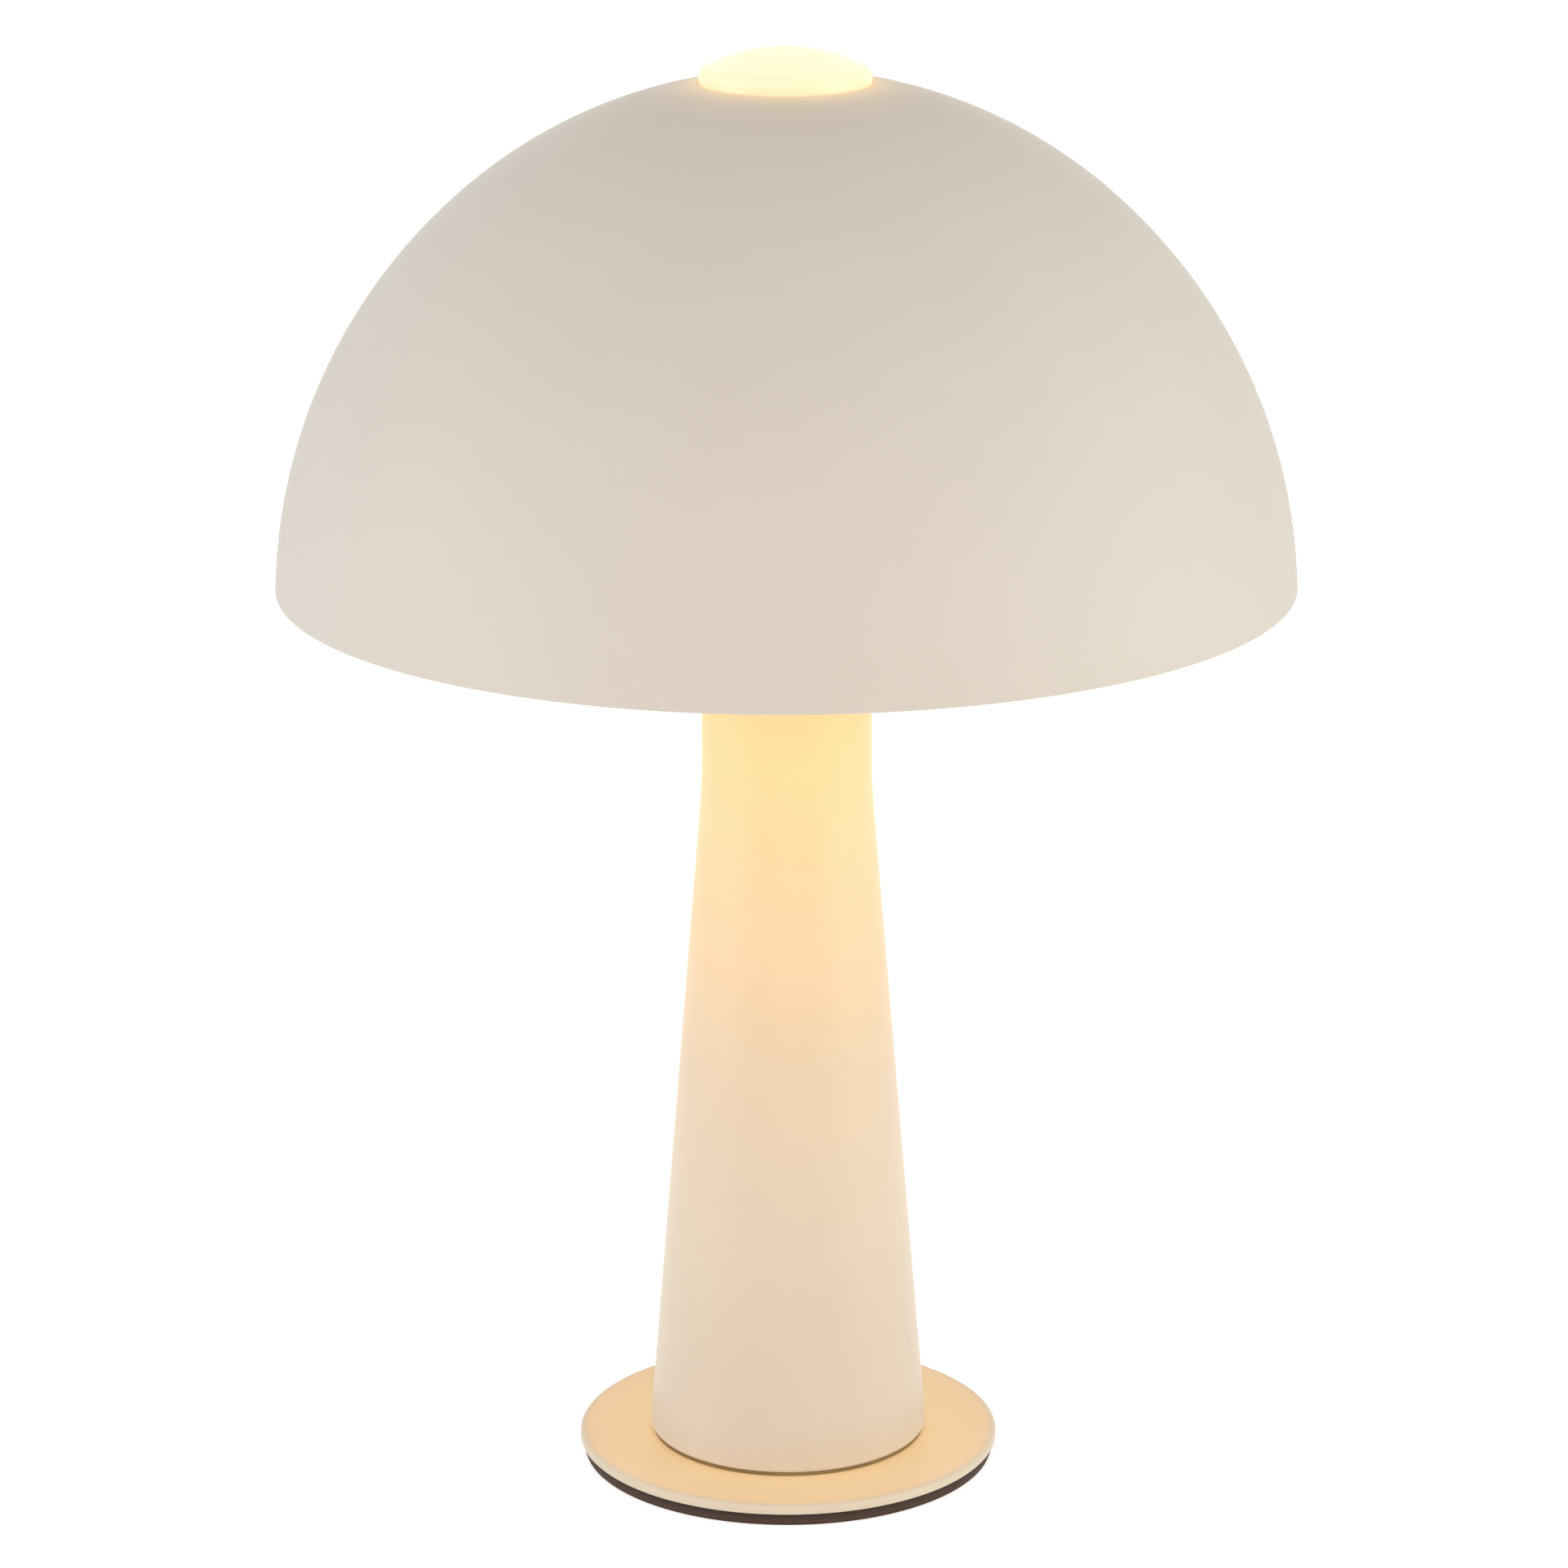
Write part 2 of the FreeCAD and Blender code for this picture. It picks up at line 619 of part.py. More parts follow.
def swept_round(points, radii, radius):
    """A round wire along straight runs joined by tangent arcs. Prints how far its volume fits its length."""
    path = Part.Wire(rounded_edges(points, radii, closed=False))
    start = Part.Circle(points[0], (points[1] - points[0]).normalize(), radius).toShape()
    pipe = Part.BRepOffsetAPI.MakePipeShell(path)
    pipe.add(Part.Wire(start))
    pipe.build()
    pipe.makeSolid()
    solid = pipe.shape()
    share = solid.Volume / (math.pi * radius ** 2 * path.Length)
    print(f"wire: length {path.Length:.1f} mm, volume over section times length {share:.4f}")
    return solid


def wire(side):
    """One insulated wire, from the inlet along the channel, up the tube and out to its terminal."""
    x = side * wire_spacing / 2.0
    channel_middle = (weight_bottom + plate_bottom) / 2.0
    above_tube = tube_top + WIRE_STRAIGHT_ABOVE_TUBE
    terminal_x = side * terminal_offset
    points = [
        Vector(x, weight_radius - GLAND_LENGTH, channel_middle),
        Vector(x, 0.0, channel_middle),
        Vector(x, 0.0, above_tube),
        Vector(terminal_x, 0.0, insert_bottom - WIRE_UPPER_BEND),
        Vector(terminal_x, 0.0, socket_floor - TERMINAL_FLOOR),
    ]
    return swept_round(points, {1: WIRE_LOWER_BEND, 2: WIRE_UPPER_BEND, 3: WIRE_UPPER_BEND}, WIRE_RADIUS)


def holder_bush():
    """Threaded metal bush in the bottom of the lamp holder."""
    return ring(TUBE_RADIUS + SCREW_GAP, bush_radius, holder_base, tube_top)


def holder_cap():
    """Lower cover of the lamp holder: a neck round the bush that widens to a spigot for the sleeve."""
    neck = bush_radius + HOLDER_NECK_WALL
    return turned_outline([
        (bush_radius, holder_base),
        (neck, holder_base),
        (neck, holder_base + HOLDER_NECK_HEIGHT),
        (holder_radius, holder_base + HOLDER_CAP_SHOULDER),
        (holder_radius, holder_cap_top),
        (spigot_radius, holder_cap_top),
        (spigot_radius, insert_bottom),
        (spigot_bore, insert_bottom),
        (spigot_bore, holder_base + HOLDER_CAP_SHOULDER),
        (bush_radius, tube_top),
    ], {2: HOLDER_CAP_ROUND, 3: HOLDER_CAP_ROUND, 8: HOLDER_CAP_INNER_ROUND})


def holder_insert():
    """Insulating cup in the holder: terminals in its floor, the threaded shell in its barrel."""
    barrel = socket_radius + SOCKET_SHEET
    body = turned_outline([
        (0.0, insert_bottom),
        (insert_radius, insert_bottom),
        (insert_radius, insert_top),
        (socket_mouth_radius, insert_top),
        (socket_mouth_radius, socket_top),
        (barrel, socket_top),
        (barrel, socket_floor),
        (0.0, socket_floor),
    ])
    holes = []
    for side in (-1, 1):
        holes.append(Part.makeCylinder(WIRE_RADIUS + SEAT_GAP, INSERT_FLOOR - TERMINAL_FLOOR + SEAT_GAP,
                                       Vector(side * terminal_offset, 0, insert_bottom)))
        holes.append(Part.makeCylinder(TERMINAL_SCREW_RADIUS + SCREW_GAP,
                                       INSERT_FLOOR - TERMINAL_SCREW_FLOOR + SCREW_GAP,
                                       Vector(side * terminal_offset, terminal_screw_side, insert_bottom)))
    return body.cut(Part.makeCompound(holes))


def holder_screws():
    """The two terminal screws, heads down."""
    screws = []
    for side in (-1, 1):
        foot = Vector(side * terminal_offset, terminal_screw_side, insert_bottom - TERMINAL_HEAD_HEIGHT)
        head = Part.makeCylinder(TERMINAL_HEAD_RADIUS, TERMINAL_HEAD_HEIGHT, foot)
        shank = Part.makeCylinder(TERMINAL_SCREW_RADIUS, socket_floor - TERMINAL_SCREW_FLOOR - foot.z, foot)
        screws.append(head.fuse(shank).cut(driver_slot(foot.x, foot.y, foot.z, TERMINAL_HEAD_RADIUS)))
    return Part.makeCompound(screws)


def holder_shell():
    """Metal shell that takes the lamp's thread, drawn without its own thread."""
    return ring(socket_radius, socket_radius + SOCKET_SHEET, socket_floor, socket_top)


def holder_contact():
    """Springy leaf in the socket floor that the lamp's contact presses on."""
    end = CONTACT_LEAF_LENGTH / 2.0
    top = LAMP_CONTACT_RADIUS + CONTACT_LEAF_SHEET
    foot = top + CONTACT_LEAF_SLOPE
    sheet = CONTACT_LEAF_SHEET
    outline = [
        (end, socket_floor), (foot - sheet, socket_floor), (top - sheet, lamp_bottom - sheet),
        (-top + sheet, lamp_bottom - sheet), (-foot + sheet, socket_floor), (-end, socket_floor),
        (-end, socket_floor + sheet), (-foot, socket_floor + sheet), (-top, lamp_bottom),
        (top, lamp_bottom), (foot, socket_floor + sheet), (end, socket_floor + sheet),
    ]
    points = [Vector(x, -CONTACT_LEAF_WIDTH / 2.0, z) for x, z in outline]
    face = Part.Face(Part.makePolygon(points + points[:1]))
    return face.extrude(Vector(0, CONTACT_LEAF_WIDTH, 0))


def holder_sleeve():
    """Outer sleeve of the lamp holder, screwed on the cap's spigot, its lip over the insert."""
    lip = socket_mouth_radius + HOLDER_LIP_STEP
    return turned_outline([
        (holder_bore, holder_cap_top),
        (holder_radius, holder_cap_top),
        (holder_radius, holder_top),
        (lip, holder_top),
        (lip, insert_top),
        (holder_bore, insert_top),
    ], {2: HOLDER_LIP_ROUND})


def lamp_contact():
    return turned_outline([
        (0.0, lamp_bottom),
        (LAMP_CONTACT_RADIUS, lamp_bottom),
        (LAMP_CONTACT_RADIUS, lamp_bottom + LAMP_CONTACT_HEIGHT),
        (0.0, lamp_bottom + LAMP_CONTACT_HEIGHT),
    ], {1: LAMP_CONTACT_ROUND})


def lamp_insulator():
    """Glass cone between the lamp's contact and its threaded shell."""
    bottom = lamp_bottom + LAMP_CONTACT_HEIGHT
    return turned_outline([
        (0.0, bottom),
        (LAMP_CONTACT_RADIUS + LAMP_INSULATOR_STEP, bottom),
        ((lamp_shell_bore + lamp_thread_root) / 2.0, lamp_shell_bottom),
        (0.0, lamp_shell_bottom),
    ])


def lamp_shell():
    """Threaded cap of the lamp, its thread drawn as rounded rings, with a skirt round the glass neck."""
    edges = []
    for i in range(LAMP_THREAD_TURNS):
        low = lamp_shell_bottom + i * LAMP_THREAD_PITCH
        high = low + LAMP_THREAD_PITCH
        crest = at(LAMP_THREAD_CREST, (low + high) / 2.0)
        edges.append(arc(at(lamp_thread_root, low), crest, at(lamp_thread_root, high)))
    rest = [
        at(lamp_thread_root, lamp_thread_top),
        at(lamp_skirt_radius, lamp_skirt_bottom),
        at(lamp_skirt_radius, lamp_skirt_top),
        at(lamp_skirt_bore, lamp_skirt_top),
        at(lamp_skirt_bore, lamp_skirt_bottom + LAMP_SHELL_SHEET / 2.0),
        at(lamp_shell_bore, lamp_thread_top + LAMP_SHELL_SHEET),
        at(lamp_shell_bore, lamp_shell_bottom),
        at(lamp_thread_root, lamp_shell_bottom),
    ]
    for start, end in zip(rest[:-1], rest[1:]):
        edges.append(line(start, end))
    return turned(edges)


def arc_from_belly(end_radius, end_height):
    """The arc that leaves the lamp's widest point upright and reaches a radius at a height: the radius of
    its centre, and its own radius."""
    inwards = LAMP_BELLY_RADIUS - end_radius
    along = end_height - LAMP_BELLY_HEIGHT
    radius = (inwards ** 2 + along ** 2) / (2.0 * inwards)
    return LAMP_BELLY_RADIUS - radius, radius


def lamp_wall_edges(inset):
    """Arcs of the lamp's glass from the top of its neck to the tip, inset from the outer face."""
    belly_height = lamp_bottom + LAMP_BELLY_HEIGHT
    lower_centre, lower_radius = arc_from_belly(LAMP_NECK_RADIUS, lamp_skirt_top - lamp_bottom)
    upper_centre, upper_radius = arc_from_belly(LAMP_TIP_RADIUS, LAMP_TIP_HEIGHT)
    neck_angle = -math.acos((LAMP_NECK_RADIUS - inset - lower_centre) / (lower_radius - inset))
    tip_angle = math.atan2(LAMP_TIP_HEIGHT - LAMP_BELLY_HEIGHT, LAMP_TIP_RADIUS - upper_centre)
    lower, low_end, _ = arc_about(at(lower_centre, belly_height), lower_radius - inset, neck_angle, 0.0)
    upper, _, tip_start = arc_about(at(upper_centre, belly_height), upper_radius - inset, 0.0, tip_angle)
    tip_round = tip_start.x / math.cos(tip_angle)
    tip_centre = at(0.0, tip_start.z - tip_round * math.sin(tip_angle))
    tip, _, top = arc_about(tip_centre, tip_round, tip_angle, math.pi / 2.0)
    return low_end, [lower, upper, tip], top


def lamp_envelope():
    """Candle-shaped glass, open at the bottom of its neck."""
    outer_end, outer, outer_top = lamp_wall_edges(0.0)
    inner_end, inner, inner_top = lamp_wall_edges(LAMP_WALL)
    outer_foot = at(LAMP_NECK_RADIUS, lamp_glass_foot)
    inner_foot = at(LAMP_NECK_RADIUS - LAMP_WALL, lamp_glass_foot)
    closing = [
        line(outer_foot, outer_end),
        line(outer_top, inner_top),
        line(inner_end, inner_foot),
        line(inner_foot, outer_foot),
    ]
    return turned(outer + inner + closing)


def lamp_mount():
    """Glass foot that seals the lamp's neck and rises to carry the filaments."""
    bore = LAMP_NECK_RADIUS - LAMP_WALL
    disc_top = lamp_glass_foot + LAMP_MOUNT_DISC
    flare_top = disc_top + LAMP_MOUNT_FLARE
    return turned_outline([
        (0.0, lamp_glass_foot),
        (bore, lamp_glass_foot),
        (bore, disc_top),
        (LAMP_MOUNT_PINCH_RADIUS, flare_top),
        (LAMP_MOUNT_STEM_RADIUS, flare_top + LAMP_MOUNT_TAPER),
        (LAMP_MOUNT_STEM_RADIUS, lamp_mount_top),
        (0.0, lamp_mount_top),
    ])


def lamp_filaments():
    foot = Vector(FILAMENT_CIRCLE, 0, lamp_bottom + FILAMENT_FOOT)
    stick = Part.makeCylinder(FILAMENT_RADIUS, FILAMENT_LENGTH, foot)
    return Part.makeCompound(spread(stick, FILAMENT_COUNT))


def rod(start, end, radius):
    return Part.makeCylinder(radius, start.distanceToPoint(end), start, end - start)


def lamp_leads():
    """Thin wires from the glass mount to both ends of each filament, the upper ones from a small star."""
    low = lamp_bottom + FILAMENT_FOOT - FILAMENT_LEAD_RADIUS
    high = low + FILAMENT_LENGTH + 2.0 * FILAMENT_LEAD_RADIUS
    reach = FILAMENT_CIRCLE + FILAMENT_LEAD_RADIUS
    arm_start = FILAMENT_STAR_RADIUS / 2.0
    frame = disc(FILAMENT_STAR_RADIUS, high - FILAMENT_STAR_HEIGHT / 2.0, high + FILAMENT_STAR_HEIGHT / 2.0)
    frame = frame.fuse(rod(at(0, lamp_mount_top), at(0, high), FILAMENT_LEAD_RADIUS))
    for arm in spread(rod(at(arm_start, high), at(reach, high), FILAMENT_LEAD_RADIUS), FILAMENT_COUNT):
        frame = frame.fuse(arm)
    foot = rod(at(LAMP_MOUNT_STEM_RADIUS, low), at(reach, low), FILAMENT_LEAD_RADIUS)
    return Part.makeCompound([frame] + spread(foot, FILAMENT_COUNT))


def neck_gasket():
    """Silicone channel over the glass's top edge."""
    leg = neck_top - NECK_SEAL_LEG
    return turned_outline([
        (ring_inner_face, leg),
        (neck_bore_radius, leg),
        (neck_bore_radius, neck_top),
        (NECK_RADIUS, neck_top),
        (NECK_RADIUS, leg),
        (ring_outer_face, leg),
        (ring_outer_face, ring_channel_top),
        (ring_inner_face, ring_channel_top),
    ])


def ring_screw_hole(radius, inner, outer):
    """A cylinder along X at the height of the ring's grub screws."""
    start = at(inner, ring_top - RING_SCREW_DROP)
    return Part.makeCylinder(radius, outer - inner, start, Vector(1, 0, 0))


def crown_ring():
    """Turned ring: a channel over the glass edge, a flange for the dome's hub, a low land that centres the
    hub and a lip that centres the cap."""
    land = dome_hole_radius - SLIP_GAP
    lip = cap_bore_radius - SLIP_GAP
    body = turned_outline([
        (ring_bore_radius, ring_channel_top - RING_INNER_SKIRT),
        (ring_inner_face, ring_channel_top - RING_INNER_SKIRT),
        (ring_inner_face, ring_channel_top),
        (ring_outer_face, ring_channel_top),
        (ring_outer_face, ring_channel_top - RING_OUTER_SKIRT),
        (ring_skirt_radius, ring_channel_top - RING_OUTER_SKIRT),
        (ring_skirt_radius, ring_channel_top),
        (ring_flange_radius, ring_channel_top),
        (ring_flange_radius, ring_top),
        (land, ring_top),
        (land, ring_land_top),
        (lip, ring_land_top),
        (lip, ring_land_top + RING_LIP_HEIGHT),
        (ring_bore_radius, ring_land_top + RING_LIP_HEIGHT),
    ], {corner: RING_ROUND for corner in (0, 4, 5, 7, 8, 12, 13)})
    hole = ring_screw_hole(RING_SCREW_RADIUS + SCREW_GAP, neck_bore_radius, ring_skirt_radius + CUT_PAST)
    return body.cut(Part.makeCompound(spread(hole, SCREW_COUNT, RING_SCREW_ANGLE)))


def crown_screws():
    """Grub screws through the ring's skirt, with hexagon sockets."""
    body = ring_screw_hole(RING_SCREW_RADIUS, ring_outer_face, ring_skirt_radius)
    key = hexagon(RING_SCREW_SOCKET_FLATS, 0.0, RING_SCREW_SOCKET_DEPTH)
    key.rotate(Vector(0, 0, 0), Vector(0, 1, 0), 90.0)
    key.translate(Vector(ring_skirt_radius - RING_SCREW_SOCKET_DEPTH, 0, ring_top - RING_SCREW_DROP))
    return Part.makeCompound(spread(body.cut(key), SCREW_COUNT, RING_SCREW_ANGLE))


def crown_arc(inset, low_radius, high_radius):
    """The crown's arc between two radii, inset from the dome's outer face."""
    reach = crown_radius - inset
    return arc_about(at(0, crown_centre_height), reach, math.acos(low_radius / reach),
                     math.acos(high_radius / reach))


def dome_side(inset):
    """The dome's two arcs from the rim up to the hole, inset from its outer face."""
    reach = flank_radius - inset
    rim_angle = math.asin(DOME_RIM_ABOVE_WIDEST / reach)
    flank, low, _ = arc_about(at(flank_centre_offset, widest_height), reach, rim_angle, join)
    crown, _, high = crown_arc(inset, (crown_radius - inset) * math.cos(join), dome_hole_radius)
    return [flank, crown], low, high


def shade_dome():
    """Spun dome with a hole in its crown and a wire-fine bead rolled inwards at its rim."""
    outer, outer_low, outer_high = dome_side(0.0)
    inner, inner_low, inner_high = dome_side(DOME_SHEET)
    sheet = turned(outer + inner + [line(outer_low, inner_low), line(outer_high, inner_high)])
    bead_rise = DOME_RIM_ABOVE_WIDEST + DOME_BEAD_RADIUS
    rim_radius = flank_centre_offset + math.sqrt(flank_radius ** 2 - bead_rise ** 2)
    bead_centre = at(0.0, rim_height + DOME_BEAD_RADIUS)
    bead = Part.makeTorus(rim_radius - DOME_BEAD_RADIUS, DOME_BEAD_RADIUS, bead_centre)
    return sheet.fuse(bead)


def shade_hub():
    """Flat-bottomed ring bonded under the dome's hole, which sits on the crown ring's flange."""
    underside, low, high = crown_arc(DOME_SHEET, hub_radius, dome_hole_radius)
    inner_foot = at(dome_hole_radius, ring_top)
    outer_foot = at(hub_radius, ring_top)
    closing = [line(high, inner_foot), line(inner_foot, outer_foot), line(outer_foot, low)]
    return turned([underside] + closing)


def cap_seal():
    return ring(cap_bore_radius, cap_radius - SEAT_GAP, ring_land_top, cap_bottom)


def cap_glass():
    """Pressed opal cap: a short wall, a shoulder and a crown whose arc is tangent to the shoulder's."""
    shoulder_offset = cap_radius - CAP_SHOULDER_ROUND
    spare_rise = CAP_CROWN_RISE - CAP_SHOULDER_ROUND
    crown = (shoulder_offset ** 2 + CAP_CROWN_RISE ** 2 - CAP_SHOULDER_ROUND ** 2) / (2.0 * spare_rise)
    crown_centre = at(0, total_height - crown)
    join_angle = math.atan2(cap_crown_base - crown_centre.z, shoulder_offset)
    shoulder, side, _ = arc_about(at(shoulder_offset, cap_crown_base), CAP_SHOULDER_ROUND, 0.0, join_angle)
    outer, _, outer_top = arc_about(crown_centre, crown, join_angle, math.pi / 2.0)
    inner_reach = crown - CAP_WALL
    inner, inner_side, inner_top = arc_about(crown_centre, inner_reach,
                                             math.acos(cap_bore_radius / inner_reach), math.pi / 2.0)
    inner_foot = at(cap_bore_radius, cap_bottom)
    outer_foot = at(cap_radius, cap_bottom)
    return turned([
        shoulder, outer, inner, line(outer_top, inner_top), line(inner_side, inner_foot),
        line(inner_foot, outer_foot), line(outer_foot, side),
    ])


NODES = {
    "base_pad": base_pad,
    "base_weight": base_weight,
    "cord_gland": cord_gland,
    "base_plate": base_plate,
    "weight_screws": weight_screws,
    "boss_screws": boss_screws,
    "tube_boss": tube_boss,
    "boss_nut": boss_nut,
    "centre_tube": centre_tube,
    "seat_gasket": seat_gasket,
    "stem_glass": stem_glass,
    "clamp_gasket": clamp_gasket,
    "clamp_cup": clamp_cup,
    "clamp_washer": clamp_washer,
    "clamp_nut": clamp_nut,
    "live_wire": lambda: wire(1),
    "neutral_wire": lambda: wire(-1),
    "holder_bush": holder_bush,
    "holder_cap": holder_cap,
    "holder_insert": holder_insert,
    "holder_screws": holder_screws,
    "holder_shell": holder_shell,
    "holder_contact": holder_contact,
    "holder_sleeve": holder_sleeve,
    "bulb_contact": lamp_contact,
    "bulb_insulator": lamp_insulator,
    "bulb_shell": lamp_shell,
    "bulb_mount": lamp_mount,
    "bulb_filaments": lamp_filaments,
    "bulb_leads": lamp_leads,
    "bulb_envelope": lamp_envelope,
    "neck_gasket": neck_gasket,
    "crown_ring": crown_ring,
    "crown_screws": crown_screws,
    "shade_dome": shade_dome,
    "shade_hub": shade_hub,
    "cap_seal": cap_seal,
    "cap_glass": cap_glass,
}


def main():
    os.makedirs("parts", exist_ok=True)
    for name, make in NODES.items():
        shape = make()
        if not shape.isValid() or not shape.Solids:
            raise RuntimeError(f"{name} isn't a valid solid")
        shape.exportStep(f"parts/{name}.step")
        print(f"{name}: {len(shape.Solids)} solid(s), {shape.Volume / 1000.0:.2f} cm3")


main()
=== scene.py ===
import math

import bpy
from mathutils import Matrix, Vector


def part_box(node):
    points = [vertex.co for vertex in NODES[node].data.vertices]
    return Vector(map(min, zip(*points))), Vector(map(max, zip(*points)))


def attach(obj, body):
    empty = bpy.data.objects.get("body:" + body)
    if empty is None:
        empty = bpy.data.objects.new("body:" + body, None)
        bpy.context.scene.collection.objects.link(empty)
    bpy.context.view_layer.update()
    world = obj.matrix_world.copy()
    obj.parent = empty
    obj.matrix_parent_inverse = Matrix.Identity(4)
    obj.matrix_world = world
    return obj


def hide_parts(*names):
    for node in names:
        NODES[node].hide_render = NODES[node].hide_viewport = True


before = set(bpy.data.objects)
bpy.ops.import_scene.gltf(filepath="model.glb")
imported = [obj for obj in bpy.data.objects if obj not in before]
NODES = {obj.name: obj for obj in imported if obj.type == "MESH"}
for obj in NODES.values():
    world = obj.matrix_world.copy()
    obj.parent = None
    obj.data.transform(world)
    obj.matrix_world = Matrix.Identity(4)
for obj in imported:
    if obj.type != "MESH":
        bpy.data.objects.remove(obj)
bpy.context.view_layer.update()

MM = 0.001

# The CAD nodes by name, and the object that shows each of them
SHOWN = dict(NODES)

# The CAD nodes shown with their triangles joined: how near two corners are one, and which edges stay sharp
JOIN_REACH = 0.002 * MM
SHARP_ANGLE = 32.0

# The Mix node's sockets for its factor and its two colours, and its colour output
MIX_FACTOR = 0
MIX_LOW = 6
MIX_HIGH = 7
MIX_COLOUR = 2

# The Wave node turns through this many radians for each metre, at a scale of 1
WAVE_RADIANS = 20.0

# Camera: a pinhole camera fitted to the lamp's outlines in the photograph
PHOTO_SIDE = 1932.0
PHOTO_FOCAL_LENGTH = 6885.55
PHOTO_AXIS_X = 969.5
PHOTO_AXIS_Y = 964.8
CAMERA_SENSOR = 36.0
CAMERA_PLACE = (0.0, -1757.2 * MM, 744.7 * MM)
CAMERA_DOWN = 16.235
CAMERA_ROLL = 0.12
CAMERA_REACH = 50.0

# The floor and the studio lights
WHITE = "#ffffff"
FLOOR_RADIUS = 7.0
FLOOR_SIDES = 64
FLOOR_COLOUR = "#f4f4f2"
FLOOR_SHOWN_LIFT = 0.62
FLOOR_DROP = 0.2 * MM
SKY_STRENGTH = 0.52
SKY_COLOUR = "#f9f9ff"
LIGHTS_AIM = (0.0, 0.0, 0.24)
SOFT_BOX_DISTANCE = 2.4
SOFT_BOX_SIZE = 1.5
# Name, degrees round from the front, height of its middle, colour, power
SOFT_BOXES = [
    ("left", -70.0, 0.45, "#fafcff", 21.5),
    ("right", 70.0, 0.45, "#fffff5", 24.0),
    ("front", 0.0, 0.45, "#ffdcc0", 12.5),
    ("back", 180.0, 0.12, "#fff0e0", 13.0),
]
TOP_LIGHT_HEIGHT = 2.6
TOP_LIGHT_COLOUR = "#ffec78"
TOP_LIGHT_POWER = 3.3

# The lamp's own light between the stem and the dome
GLOW_LIGHTS = 8
GLOW_CIRCLE = 76.0 * MM
GLOW_HEIGHT = 370.0 * MM
GLOW_SIZE = 12.0 * MM
GLOW_POWER = 0.1
GLOW_COLOUR = "#ffcf8c"

# The opal glass's glow, in mm up from the table. On the stem the lamp's light through the glass warms from
# the waist to the neck beside the lamp, with painted light in it: the faint cool glow at the foot and the
# waist, and the warm light that the dome's inside throws down on the lower stem. On the cap a warmer, dimmer
# glow low down is painted shade on its upright side
STEM_GLOW_AND_PAINTED_LIGHT = [
    (5.0, "#505860"),
    (90.0, "#6c6a66"),
    (140.0, "#7c6c5c"),
    (245.0, "#b88624"),
    (300.0, "#b88828"),
    (457.0, "#cca460"),
]
# Low stops: painted shade on the cap's upright side wall
CAP_GLOW_AND_PAINTED_SHADE = [
    (461.0, "#c08c50"),
    (466.0, "#c09874"),
    (470.0, "#bcb494"),
    (475.0, "#bcb494"),
]

# Painted light, in mm from the axis: on the plate the lamp's warm glow, painted on from the stem out to a
# painted pale highlight on the rim's rounded edge, and on the dome a painted glow from the edge of the cap
# until it is gone
PLATE_PAINTED_LIGHT = [
    (45.0, "#987434"),
    (54.0, "#886c28"),
    (67.0, "#8a662c"),
    (70.0, "#405050"),
]
DOME_PAINTED_GLOW = [
    (28.0, "#846428"),
    (36.0, "#583c18"),
    (46.0, "#301400"),
    (90.0, "#000000"),
]


def linear(colour, alpha=1.0):
    """An sRGB hex colour as linear red, green, blue and alpha."""
    parts = [int(colour[i:i + 2], 16) / 255.0 for i in (1, 3, 5)]
    return tuple(p / 12.92 if p <= 0.04045 else ((p + 0.055) / 1.055) ** 2.4 for p in parts) + (alpha,)


def add(tree, kind, inputs=None, **settings):
    """Adds a node with its settings. An input is given as a value, or as the output that feeds it."""
    node = tree.nodes.new(kind)
    for name, value in settings.items():
        if name == "stops":
            elements = node.color_ramp.elements
            for extra in value[2:]:
                elements.new(1.0)
            for element, (position, colour) in zip(elements, value):
                element.position = position
                element.color = linear(colour)
        else:
            setattr(node, name, value)
    for name, value in (inputs or {}).items():
        if isinstance(value, bpy.types.NodeSocket):
            tree.links.new(value, node.inputs[name])
        else:
            node.inputs[name].default_value = value
    return node


def begin(name):
    """A new material with its node tree and the place of each point in the object's own coordinates."""
    material = bpy.data.materials.new(name)
    material.use_nodes = True
    tree = material.node_tree
    tree.nodes.clear()
    place = add(tree, "ShaderNodeTexCoord").outputs["Object"]
    return material, tree, place


def surface(tree, **inputs):
    """The surface shader with its inputs, wired to the material's output."""
    named = {name.replace("_", " "): value for name, value in inputs.items()}
    shader = add(tree, "ShaderNodeBsdfPrincipled", named)
    add(tree, "ShaderNodeOutputMaterial", {"Surface": shader.outputs["BSDF"]})
    return shader


def grain(tree, place, size, detail=2.0, roughness=0.5):
    """Soft random variation from 0 to 1, its lumps about as wide as size, in millimetres."""
    noise = add(tree, "ShaderNodeTexNoise", {
        "Vector": place, "Scale": 1.0 / (size * MM), "Detail": detail, "Roughness": roughness})
    return noise.outputs["Fac"]


def along(tree, distance, stops):
    """A colour that follows a distance, from stops of (millimetres, hex colour)."""
    first, last = stops[0][0], stops[-1][0]
    share = spread_to(tree, distance, start=first * MM, end=last * MM)
    shares = [((at - first) / (last - first), colour) for at, colour in stops]
    return add(tree, "ShaderNodeValToRGB", {"Fac": share}, stops=shares).outputs["Color"]


def from_axis(tree, place):
    """How far a point is from the lamp's upright axis."""
    flat = add(tree, "ShaderNodeVectorMath", {0: place, 1: (1.0, 1.0, 0.0)}, operation="MULTIPLY")
    return add(tree, "ShaderNodeVectorMath", {0: flat.outputs["Vector"]}, operation="LENGTH").outputs["Value"]


def between(tree, factor, low, high):
    """A colour between two, each given in hex or as the output that makes it."""
    low, high = [linear(end) if isinstance(end, str) else end for end in (low, high)]
    mix = add(tree, "ShaderNodeMix", {MIX_FACTOR: factor, MIX_LOW: low, MIX_HIGH: high}, data_type="RGBA")
    return mix.outputs[MIX_COLOUR]


def spread_to(tree, factor, low=0.0, high=1.0, start=0.0, end=1.0):
    """A number between low and high, as factor goes from start to end."""
    return add(tree, "ShaderNodeMapRange", {
        "Value": factor, "From Min": start, "From Max": end, "To Min": low, "To Max": high}).outputs["Result"]


